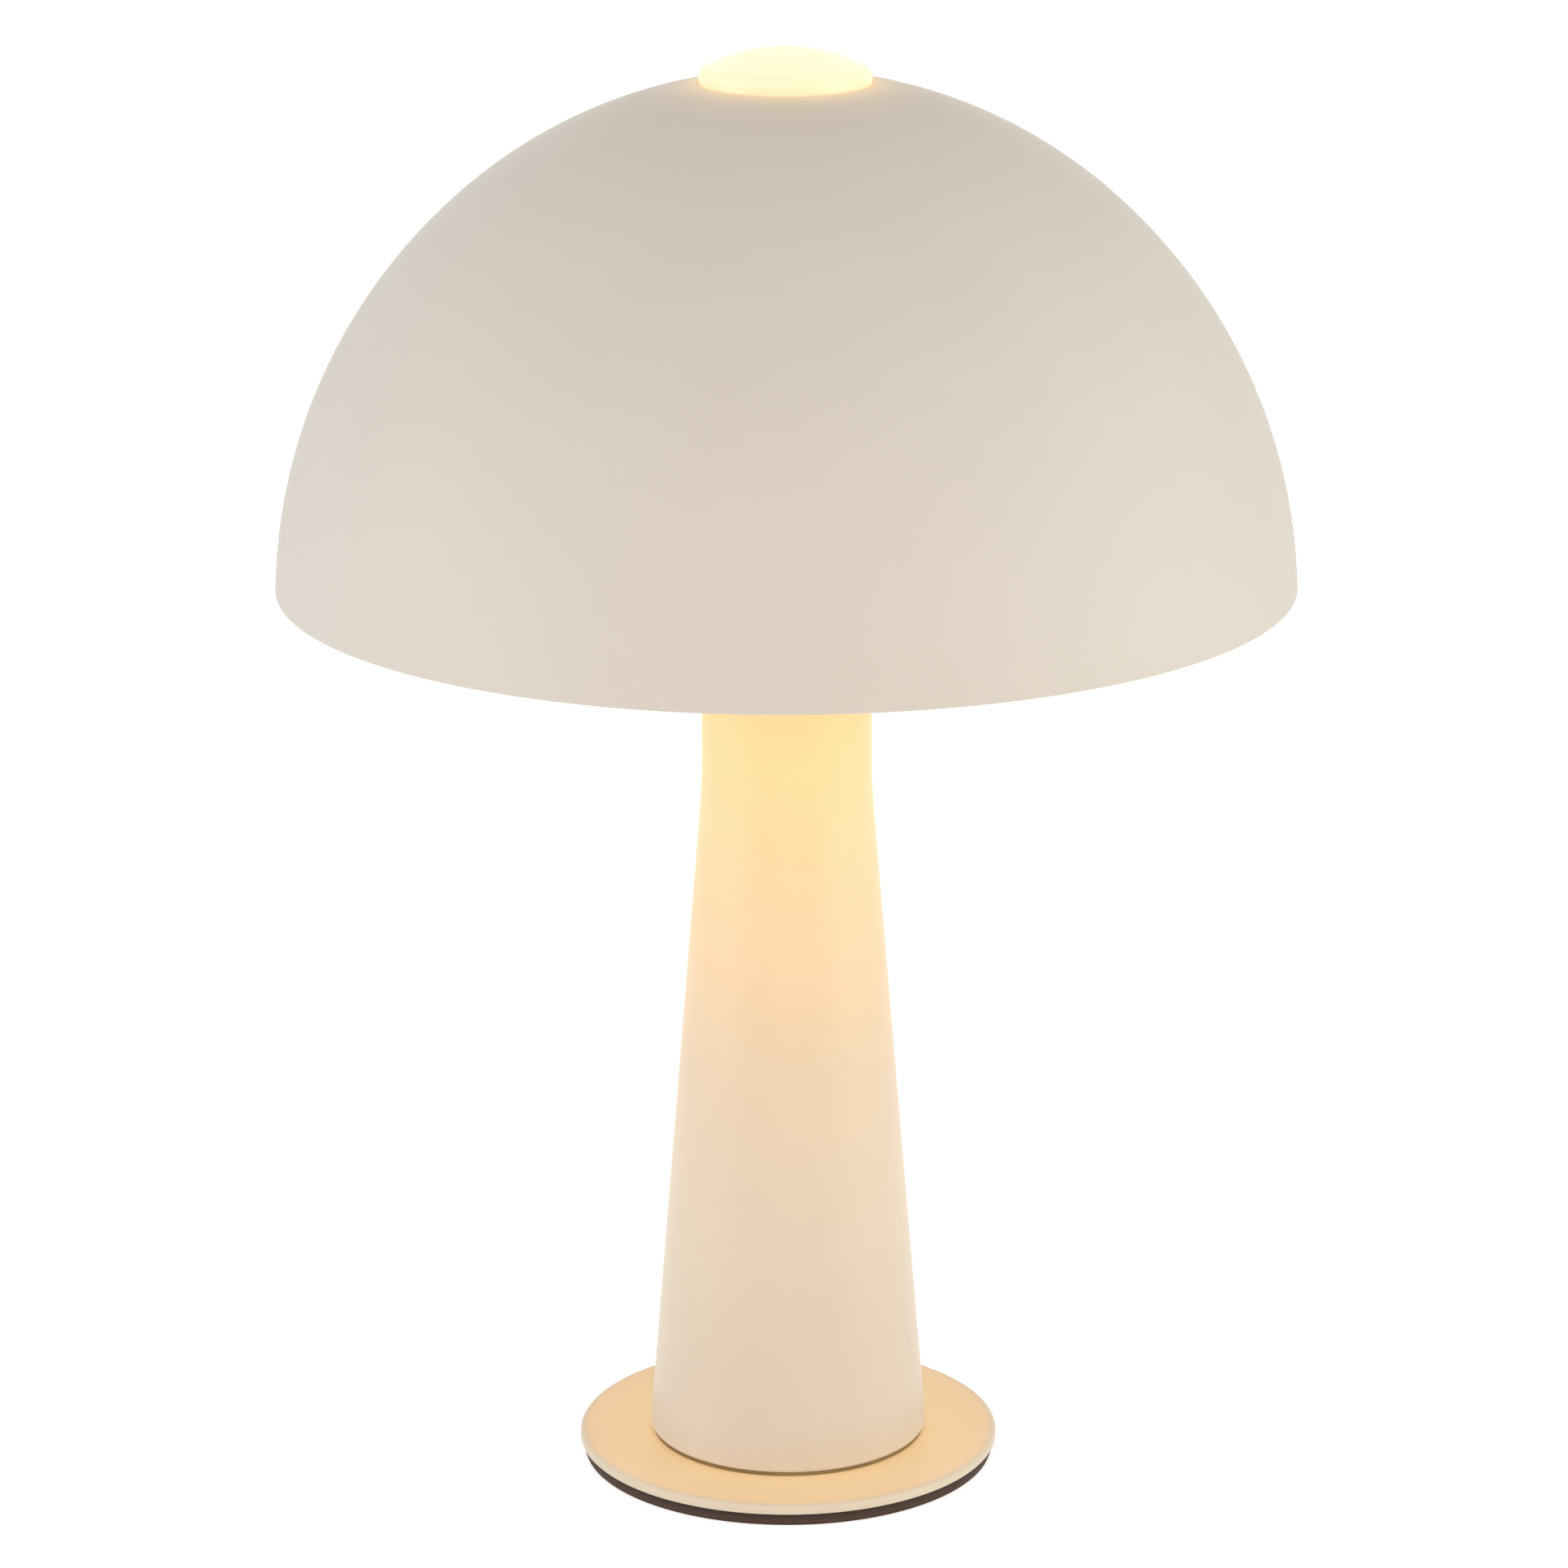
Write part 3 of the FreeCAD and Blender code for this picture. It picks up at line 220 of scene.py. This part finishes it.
def relief(tree, height, depth):
    """A normal bumped by a height from 0 to 1, depth millimetres deep."""
    bump = add(tree, "ShaderNodeBump", {"Height": height, "Distance": depth * MM, "Strength": 1.0})
    return bump.outputs["Normal"]


def up_from_table(tree, place):
    """How high a point is above the table."""
    return add(tree, "ShaderNodeSeparateXYZ", {"Vector": place}).outputs["Z"]


def where_seen(tree):
    """One where a surface is seen straight on, in a gloss or through glass, else nought."""
    light = add(tree, "ShaderNodeLightPath").outputs
    seen = light["Is Camera Ray"]
    for kind in ("Is Glossy Ray", "Is Transmission Ray"):
        seen = add(tree, "ShaderNodeMath", {0: seen, 1: light[kind]}, operation="MAXIMUM").outputs["Value"]
    return seen


def powder_coat(name, colour, thin_colour, roughness, painted_light=None):
    """Powder coat on steel: a baked film whose orange peel of about 1.4 mm breaks up the reflections, a
    little thinner and paler in broad patches. The peel is drawn as deep as it needs to show. The painted
    light, where given, is emission painted on for the light that the lit glass beside it throws on it, with
    any painted highlight among its stops."""
    material, tree, place = begin(name)
    peel = grain(tree, place, size=1.4, detail=1.0)
    patches = grain(tree, place, size=45.0)
    shader = surface(tree, Base_Color=between(tree, patches, colour, thin_colour),
                     Roughness=spread_to(tree, peel, low=roughness - 0.05, high=roughness + 0.05),
                     IOR=1.5, Normal=relief(tree, peel, depth=0.012))
    # Painted light and highlight, painted on as emission
    if painted_light:
        tree.links.new(along(tree, from_axis(tree, place), painted_light), shader.inputs["Emission Color"])
        shader.inputs["Emission Strength"].default_value = 1.0
    return material


def dome_paint():
    """Matt greige powder coat outside the dome and white reflector enamel inside it. Which side a point is on
    comes from whether its normal looks away from the dome's middle. Outside, a painted glow near the cap
    stands for the light the cap throws on the dome."""
    material, tree, place = begin("dome powder coat outside, white enamel inside")
    facing = add(tree, "ShaderNodeTexCoord").outputs["Normal"]
    low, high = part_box("shade_dome")
    middle = ((low.x + high.x) / 2.0, (low.y + high.y) / 2.0, low.z)
    outwards = add(tree, "ShaderNodeVectorMath", {0: place, 1: middle}, operation="SUBTRACT")
    both = {0: facing, 1: outwards.outputs["Vector"]}
    away = add(tree, "ShaderNodeVectorMath", both, operation="DOT_PRODUCT").outputs["Value"]
    outside = spread_to(tree, away, start=-1.0 * MM, end=1.0 * MM)
    peel = grain(tree, place, size=1.4, detail=1.0)
    patches = grain(tree, place, size=60.0)
    coat = between(tree, patches, "#ded8cd", "#e2ddd2")
    enamel = between(tree, patches, "#f3f0ea", "#f7f5f0")
    # Outside only: painted glow from the cap's edge, as emission
    surface(tree, Base_Color=between(tree, outside, enamel, coat),
            Roughness=spread_to(tree, outside, low=0.42, high=0.62), IOR=1.5,
            Normal=relief(tree, peel, depth=0.01), Emission_Strength=outside,
            Emission_Color=along(tree, from_axis(tree, place), DOME_PAINTED_GLOW))
    return material


def opal_glass(name, body, glow, roughness):
    """Opal glass, satin etched after it was blown or pressed: a milky body with faint clouds, lit from
    inside. The glow is strongest beside the lamp and fades towards the foot; it also carries painted light on
    the stem and painted shade low on the cap. The etch is drawn as coarse as it needs to show, in lumps of
    0.9 mm."""
    material, tree, place = begin(name)
    lit = along(tree, up_from_table(tree, place), glow)
    clouds = grain(tree, place, size=38.0)
    etch = grain(tree, place, size=0.9, detail=1.0)
    thick, thin = body
    surface(tree, Base_Color=between(tree, clouds, thick, thin), Roughness=roughness, IOR=1.5,
            Emission_Color=lit, Emission_Strength=1.0, Normal=relief(tree, etch, depth=0.004))
    return material


def rubber(name, colour, worn, lump, depth):
    """Moulded rubber: matt, with the fine grain of its mould and a bloom of chalk in patches."""
    material, tree, place = begin(name)
    skin = grain(tree, place, size=lump, detail=3.0)
    bloom = grain(tree, place, size=14.0, detail=3.0)
    surface(tree, Base_Color=between(tree, bloom, colour, worn),
            Roughness=spread_to(tree, skin, low=0.7, high=0.9), IOR=1.52, Normal=relief(tree, skin, depth))
    return material


def foam_pad():
    """Brown closed-cell EVA foam, cut from sheet: cut cells of about 0.8 mm give it a pitted matt skin."""
    material, tree, place = begin("closed-cell foam, cut sheet")
    cell = 0.8 * MM
    cells = add(tree, "ShaderNodeTexVoronoi", {"Vector": place, "Scale": 1.0 / cell}).outputs["Distance"]
    patches = grain(tree, place, size=20.0, detail=3.0)
    surface(tree, Base_Color=between(tree, patches, "#4a382f", "#584539"), Roughness=0.93, IOR=1.4,
            Normal=relief(tree, cells, depth=0.12))
    return material


def weight_paint():
    """Sand-cast steel weight under dark brown dip paint: the casting's grain of about 1.6 mm shows through.
    Painted shade darkens the top, under the plate's overhang, and it is painted paler towards the table,
    where light reaches it."""
    material, tree, place = begin("cast steel, dark brown dip paint")
    cast = grain(tree, place, size=1.6, detail=4.0, roughness=0.6)
    # Painted shade under the plate, fading to painted light towards the table
    painted_shade_under_plate = spread_to(tree, up_from_table(tree, place), low=0.8, high=0.1, start=0.8 * MM, end=4.2 * MM)
    uneven = spread_to(tree, cast, low=-0.25, high=0.25)
    painted_shade_and_grain = add(tree, "ShaderNodeMath", {0: painted_shade_under_plate, 1: uneven}, operation="ADD").outputs["Value"]
    surface(tree, Base_Color=between(tree, painted_shade_and_grain, "#15100d", "#5f493f"),
            Roughness=spread_to(tree, cast, low=0.6, high=0.82), IOR=1.5, Specular_IOR_Level=0.3,
            Normal=relief(tree, cast, depth=0.05))
    return material


def zinc_plate():
    """Bright zinc plate, clear passivated: a bluish grey metal with faint straw-coloured bloom in spots of
    3 mm, and slightly uneven shine."""
    material, tree, place = begin("zinc-plated steel, clear passivated")
    bloom = spread_to(tree, grain(tree, place, size=3.0, detail=3.0), start=0.4, end=0.75)
    fine = grain(tree, place, size=0.5)
    surface(tree, Base_Color=between(tree, bloom, "#c3c7ca", "#cdc8b6"), Metallic=1.0,
            Roughness=spread_to(tree, fine, low=0.26, high=0.42), Normal=relief(tree, fine, depth=0.006))
    return material


def turned_metal(name, colour, dull, pitch, depth, roughness):
    """Metal turned, rolled or drawn: fine rings round the axis, pitch millimetres apart, and duller where
    it was handled."""
    material, tree, place = begin(name)
    scale = 2.0 * math.pi / (pitch * MM * WAVE_RADIANS)
    rings = add(tree, "ShaderNodeTexWave", {
        "Vector": place, "Scale": scale, "Distortion": 0.6, "Detail": 1.0},
        wave_type="BANDS", bands_direction="Z", wave_profile="SIN").outputs["Fac"]
    handled = spread_to(tree, grain(tree, place, size=9.0, detail=3.0), start=0.4, end=0.75)
    surface(tree, Base_Color=between(tree, handled, colour, dull), Metallic=1.0,
            Roughness=spread_to(tree, handled, low=roughness, high=roughness + 0.16),
            Normal=relief(tree, rings, depth))
    return material


def insulation(name, colour, pale):
    """Extruded PVC insulation: half gloss, with slow waves of about 6 mm from the extruder and dust."""
    material, tree, place = begin(name)
    waves = grain(tree, place, size=6.0)
    dust = grain(tree, place, size=0.7, detail=3.0)
    surface(tree, Base_Color=between(tree, waves, colour, pale),
            Roughness=spread_to(tree, dust, low=0.32, high=0.5), IOR=1.53,
            Normal=relief(tree, waves, depth=0.05))
    return material


def phenolic():
    """Compression-moulded phenolic resin: off-white, hard and half matt, with filler specks of 0.4 mm."""
    material, tree, place = begin("moulded phenolic resin, off-white")
    specks = spread_to(tree, grain(tree, place, size=0.4), start=0.62, end=0.75)
    flow = grain(tree, place, size=18.0)
    surface(tree, Base_Color=between(tree, specks, "#eeece4", "#d9d4c6"),
            Roughness=spread_to(tree, flow, low=0.38, high=0.52), IOR=1.6,
            Normal=relief(tree, flow, depth=0.05))
    return material


def porcelain():
    """Glazed steatite: white body under a clear glaze that lies in slow ripples, with 0.6 mm pinholes."""
    material, tree, place = begin("glazed steatite porcelain")
    ripple = grain(tree, place, size=5.0)
    pinholes = spread_to(tree, grain(tree, place, size=0.6, detail=1.0), start=0.72, end=0.8)
    surface(tree, Base_Color=between(tree, pinholes, "#f0eee6", "#c9c0ad"), Roughness=0.24, IOR=1.55,
            Coat_Weight=0.7, Coat_Roughness=0.06, Normal=relief(tree, ripple, depth=0.06))
    return material


def clear_glass(name, colour, waviness):
    """Blown clear glass, thin: slow waves in the wall bend what is behind it."""
    material, tree, place = begin(name)
    waves = grain(tree, place, size=9.0, detail=1.0)
    surface(tree, Base_Color=linear(colour), Transmission_Weight=1.0,
            Roughness=spread_to(tree, waves, low=0.01, high=0.04), IOR=1.5,
            Normal=relief(tree, waves, depth=waviness))
    return material


def vitrite():
    """Vitrite, the black-violet insulating glass of a lamp's cap: glossy, its skin in slow dimples."""
    material, tree, place = begin("vitrite insulating glass")
    dimples = grain(tree, place, size=1.8)
    surface(tree, Base_Color=between(tree, dimples, "#141020", "#2b2440"),
            Roughness=spread_to(tree, dimples, low=0.1, high=0.22), IOR=1.6,
            Normal=relief(tree, dimples, depth=0.06))
    return material


def phosphor():
    """Filament rod under yellow phosphor and silicone, lit: lumps about 1 mm apart where the chips are."""
    material, tree, place = begin("phosphor-coated filament, lit")
    chips = grain(tree, place, size=1.0, detail=1.0)
    surface(tree, Base_Color=between(tree, chips, "#e8c063", "#f6dc8c"), Roughness=0.5, IOR=1.45,
            Emission_Color=between(tree, chips, "#ffc46a", "#ffe2a6"), Emission_Strength=5.0,
            Normal=relief(tree, chips, depth=0.08))
    return material


def silicone():
    """Moulded silicone rubber, milky: soft sheen that holds fine dust."""
    material, tree, place = begin("moulded silicone rubber, milky")
    dust = grain(tree, place, size=1.1, detail=4.0)
    surface(tree, Base_Color=between(tree, dust, "#e4e2da", "#f1f0ea"),
            Roughness=spread_to(tree, dust, low=0.42, high=0.6), IOR=1.41, Subsurface_Weight=0.3,
            Subsurface_Radius=(4.0 * MM, 3.0 * MM, 2.0 * MM), Subsurface_Scale=1.0,
            Normal=relief(tree, dust, depth=0.01))
    return material


def join_triangles(node, body):
    """A copy of a CAD node with its loose triangles joined, which stands for it. Where a turned face begins
    and ends, the loose triangles lean apart by up to 7 degrees, and the shading shows a line there."""
    bpy.ops.object.select_all(action="DESELECT")
    piece = bpy.data.objects.new(f"{node}_joined", NODES[node].data.copy())
    bpy.context.collection.objects.link(piece)
    bpy.context.view_layer.objects.active = piece
    piece.select_set(True)
    bpy.ops.object.mode_set(mode="EDIT")
    bpy.ops.mesh.select_all(action="SELECT")
    bpy.ops.mesh.customdata_custom_splitnormals_clear()
    bpy.ops.mesh.remove_doubles(threshold=JOIN_REACH)
    bpy.ops.object.mode_set(mode="OBJECT")
    bpy.ops.object.shade_smooth_by_angle(angle=math.radians(SHARP_ANGLE))
    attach(piece, body)
    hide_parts(node)
    SHOWN[node] = piece


def dress(material, *names):
    """Gives pieces a material."""
    for name in names:
        mesh = SHOWN[name].data
        mesh.materials.clear()
        mesh.materials.append(material)


def dress_lamp():
    """Gives every piece of the lamp its material."""
    dress(foam_pad(), "base_pad")
    dress(weight_paint(), "base_weight")
    dress(rubber("moulded rubber, black", "#1d1b1a", "#2c2927", lump=0.5, depth=0.02), "cord_gland")
    # The seat gasket's brown is partly painted contact shade: it draws the dark line under the glass foot
    dress(rubber("cut rubber sheet, brown", "#75603f", "#967f54", lump=0.6, depth=0.02),
          "seat_gasket", "clamp_gasket")
    # The plate's cream is greige paint warmed partly as painted light: the lamp's warm light on its top
    dress(powder_coat("plate powder coat, greige warmed by painted lamp light", "#e2cfb3", "#e7d5ba", roughness=0.6,
                      painted_light=PLATE_PAINTED_LIGHT), "base_plate")
    dress(powder_coat("ring powder coat, white", "#ece8e0", "#f1eee7", roughness=0.42), "crown_ring")
    dress(powder_coat("hub powder coat, white", "#ece8e0", "#f1eee7", roughness=0.5), "shade_hub")
    dress(dome_paint(), "shade_dome")
    # The stem's glow: the lamp's light, with painted light from outside in it
    dress(opal_glass("opal glass, satin etched", ("#d2bfa3", "#d8c6ab"), STEM_GLOW_AND_PAINTED_LIGHT, roughness=0.42),
          "stem_glass")
    # The cap's glow, with painted shade low on its side
    dress(opal_glass("pressed opal glass, satin", ("#dcd2b4", "#e2d9bc"), CAP_GLOW_AND_PAINTED_SHADE, roughness=0.38),
          "cap_glass")
    dress(zinc_plate(), "weight_screws", "boss_screws", "boss_nut", "clamp_cup", "clamp_washer", "clamp_nut",
          "crown_screws")
    dress(turned_metal("turned free-cutting steel", "#b9b9b8", "#a2a19e", pitch=0.35, depth=0.006,
                       roughness=0.24), "tube_boss")
    dress(turned_metal("rolled steel thread, 1 mm pitch", "#b4b4b3", "#9a9997", pitch=1.0, depth=0.3,
                       roughness=0.26), "centre_tube")
    dress(turned_metal("turned brass", "#d8b766", "#b5934e", pitch=0.3, depth=0.005, roughness=0.2),
          "holder_bush", "holder_screws")
    dress(turned_metal("pressed brass sheet", "#dcbc6e", "#bd9a55", pitch=1.2, depth=0.004, roughness=0.24),
          "holder_shell", "holder_contact")
    dress(turned_metal("nickel-plated brass shell", "#cbc6bb", "#b3ada0", pitch=0.5, depth=0.004,
                       roughness=0.18), "bulb_shell")
    dress(turned_metal("tinned copper wire and solder", "#bdbbb5", "#a19e96", pitch=0.6, depth=0.01,
                       roughness=0.34), "bulb_contact", "bulb_leads")
    dress(insulation("PVC insulation, brown", "#4b2c18", "#5b3720"), "live_wire")
    dress(insulation("PVC insulation, blue", "#2a4f9a", "#345cab"), "neutral_wire")
    dress(phenolic(), "holder_cap", "holder_sleeve")
    dress(porcelain(), "holder_insert")
    dress(vitrite(), "bulb_insulator")
    dress(clear_glass("blown soda-lime glass, clear", "#fffaf0", waviness=0.03), "bulb_envelope")
    dress(clear_glass("pressed lead glass, clear", "#eef5f2", waviness=0.08), "bulb_mount")
    dress(phosphor(), "bulb_filaments")
    dress(silicone(), "neck_gasket", "cap_seal")


def make_floor():
    """A plain pale floor, a hair below the pad's flat face so that the two don't share a plane. Seen straight
    on or in a gloss it is lifted to white, and it keeps the shadow."""
    bpy.ops.object.select_all(action="DESELECT")
    bpy.ops.mesh.primitive_circle_add(vertices=FLOOR_SIDES, radius=FLOOR_RADIUS, fill_type="NGON",
                                      location=(0.0, 0.0, -FLOOR_DROP))
    floor = bpy.context.object
    floor.name = "floor"
    material = bpy.data.materials.new("matt white sweep")
    material.use_nodes = True
    tree = material.node_tree
    tree.nodes.clear()
    lift = spread_to(tree, where_seen(tree), high=FLOOR_SHOWN_LIFT)
    matt = add(tree, "ShaderNodeBsdfDiffuse", {"Color": linear(FLOOR_COLOUR)}).outputs["BSDF"]
    white = add(tree, "ShaderNodeEmission", {"Color": linear(WHITE), "Strength": lift}).outputs["Emission"]
    both = add(tree, "ShaderNodeAddShader", {0: matt, 1: white}).outputs["Shader"]
    add(tree, "ShaderNodeOutputMaterial", {"Surface": both})
    floor.data.materials.append(material)


def make_world():
    """An even sky: white where it is seen, and about half as strong as a light."""
    world = bpy.data.worlds.new("studio")
    bpy.context.scene.world = world
    world.use_nodes = True
    tree = world.node_tree
    tree.nodes.clear()
    seen = where_seen(tree)
    strength = spread_to(tree, seen, low=SKY_STRENGTH)
    colour = between(tree, seen, SKY_COLOUR, WHITE)
    sky = add(tree, "ShaderNodeBackground", {"Color": colour, "Strength": strength})
    add(tree, "ShaderNodeOutputWorld", {"Surface": sky.outputs["Background"]})


def add_light(name, kind, place, colour, power):
    """A light that faces the middle of the lamp and isn't seen itself."""
    data = bpy.data.lights.new(name, kind)
    data.color = linear(colour)[:3]
    data.energy = power
    light = bpy.data.objects.new(name, data)
    light.location = place
    light.rotation_euler = (Vector(LIGHTS_AIM) - Vector(place)).to_track_quat("-Z", "Y").to_euler()
    light.visible_camera = False
    bpy.context.collection.objects.link(light)
    return data


def make_lights():
    """Wide soft boxes round the lamp and above it, and the lamp's own light under the dome."""
    for side, azimuth, height, colour, power in SOFT_BOXES:
        angle = math.radians(azimuth)
        place = (SOFT_BOX_DISTANCE * math.sin(angle), -SOFT_BOX_DISTANCE * math.cos(angle), height)
        box = add_light(f"soft_box_{side}", "AREA", place, colour, power)
        box.size = SOFT_BOX_SIZE
    above = (0.0, 0.0, TOP_LIGHT_HEIGHT)
    top = add_light("soft_box_top", "AREA", above, TOP_LIGHT_COLOUR, TOP_LIGHT_POWER)
    top.size = SOFT_BOX_SIZE
    for i in range(GLOW_LIGHTS):
        angle = 2.0 * math.pi * (i + 0.5) / GLOW_LIGHTS
        place = (GLOW_CIRCLE * math.cos(angle), GLOW_CIRCLE * math.sin(angle), GLOW_HEIGHT)
        glow = add_light(f"lamp_glow_{i + 1}", "POINT", place, GLOW_COLOUR, GLOW_POWER / GLOW_LIGHTS)
        glow.shadow_soft_size = GLOW_SIZE


def make_camera():
    """The camera that took the photograph, with its small shift and roll."""
    data = bpy.data.cameras.new("camera")
    data.sensor_width = CAMERA_SENSOR
    data.lens = PHOTO_FOCAL_LENGTH / PHOTO_SIDE * CAMERA_SENSOR
    data.shift_x = (PHOTO_SIDE / 2.0 - PHOTO_AXIS_X) / PHOTO_SIDE
    data.shift_y = (PHOTO_AXIS_Y - PHOTO_SIDE / 2.0) / PHOTO_SIDE
    data.clip_end = CAMERA_REACH
    camera = bpy.data.objects.new("camera", data)
    camera.location = CAMERA_PLACE
    tilt = Matrix.Rotation(math.radians(90.0 - CAMERA_DOWN), 3, "X")
    roll = Matrix.Rotation(math.radians(-CAMERA_ROLL), 3, "Z")
    camera.rotation_euler = (tilt @ roll).to_euler()
    bpy.context.collection.objects.link(camera)
    bpy.context.scene.camera = camera


make_camera()
make_world()
make_lights()
make_floor()
join_triangles("stem_glass", "root")
join_triangles("shade_dome", "shade")
dress_lamp()
bpy.context.scene.view_settings.view_transform = "Standard"
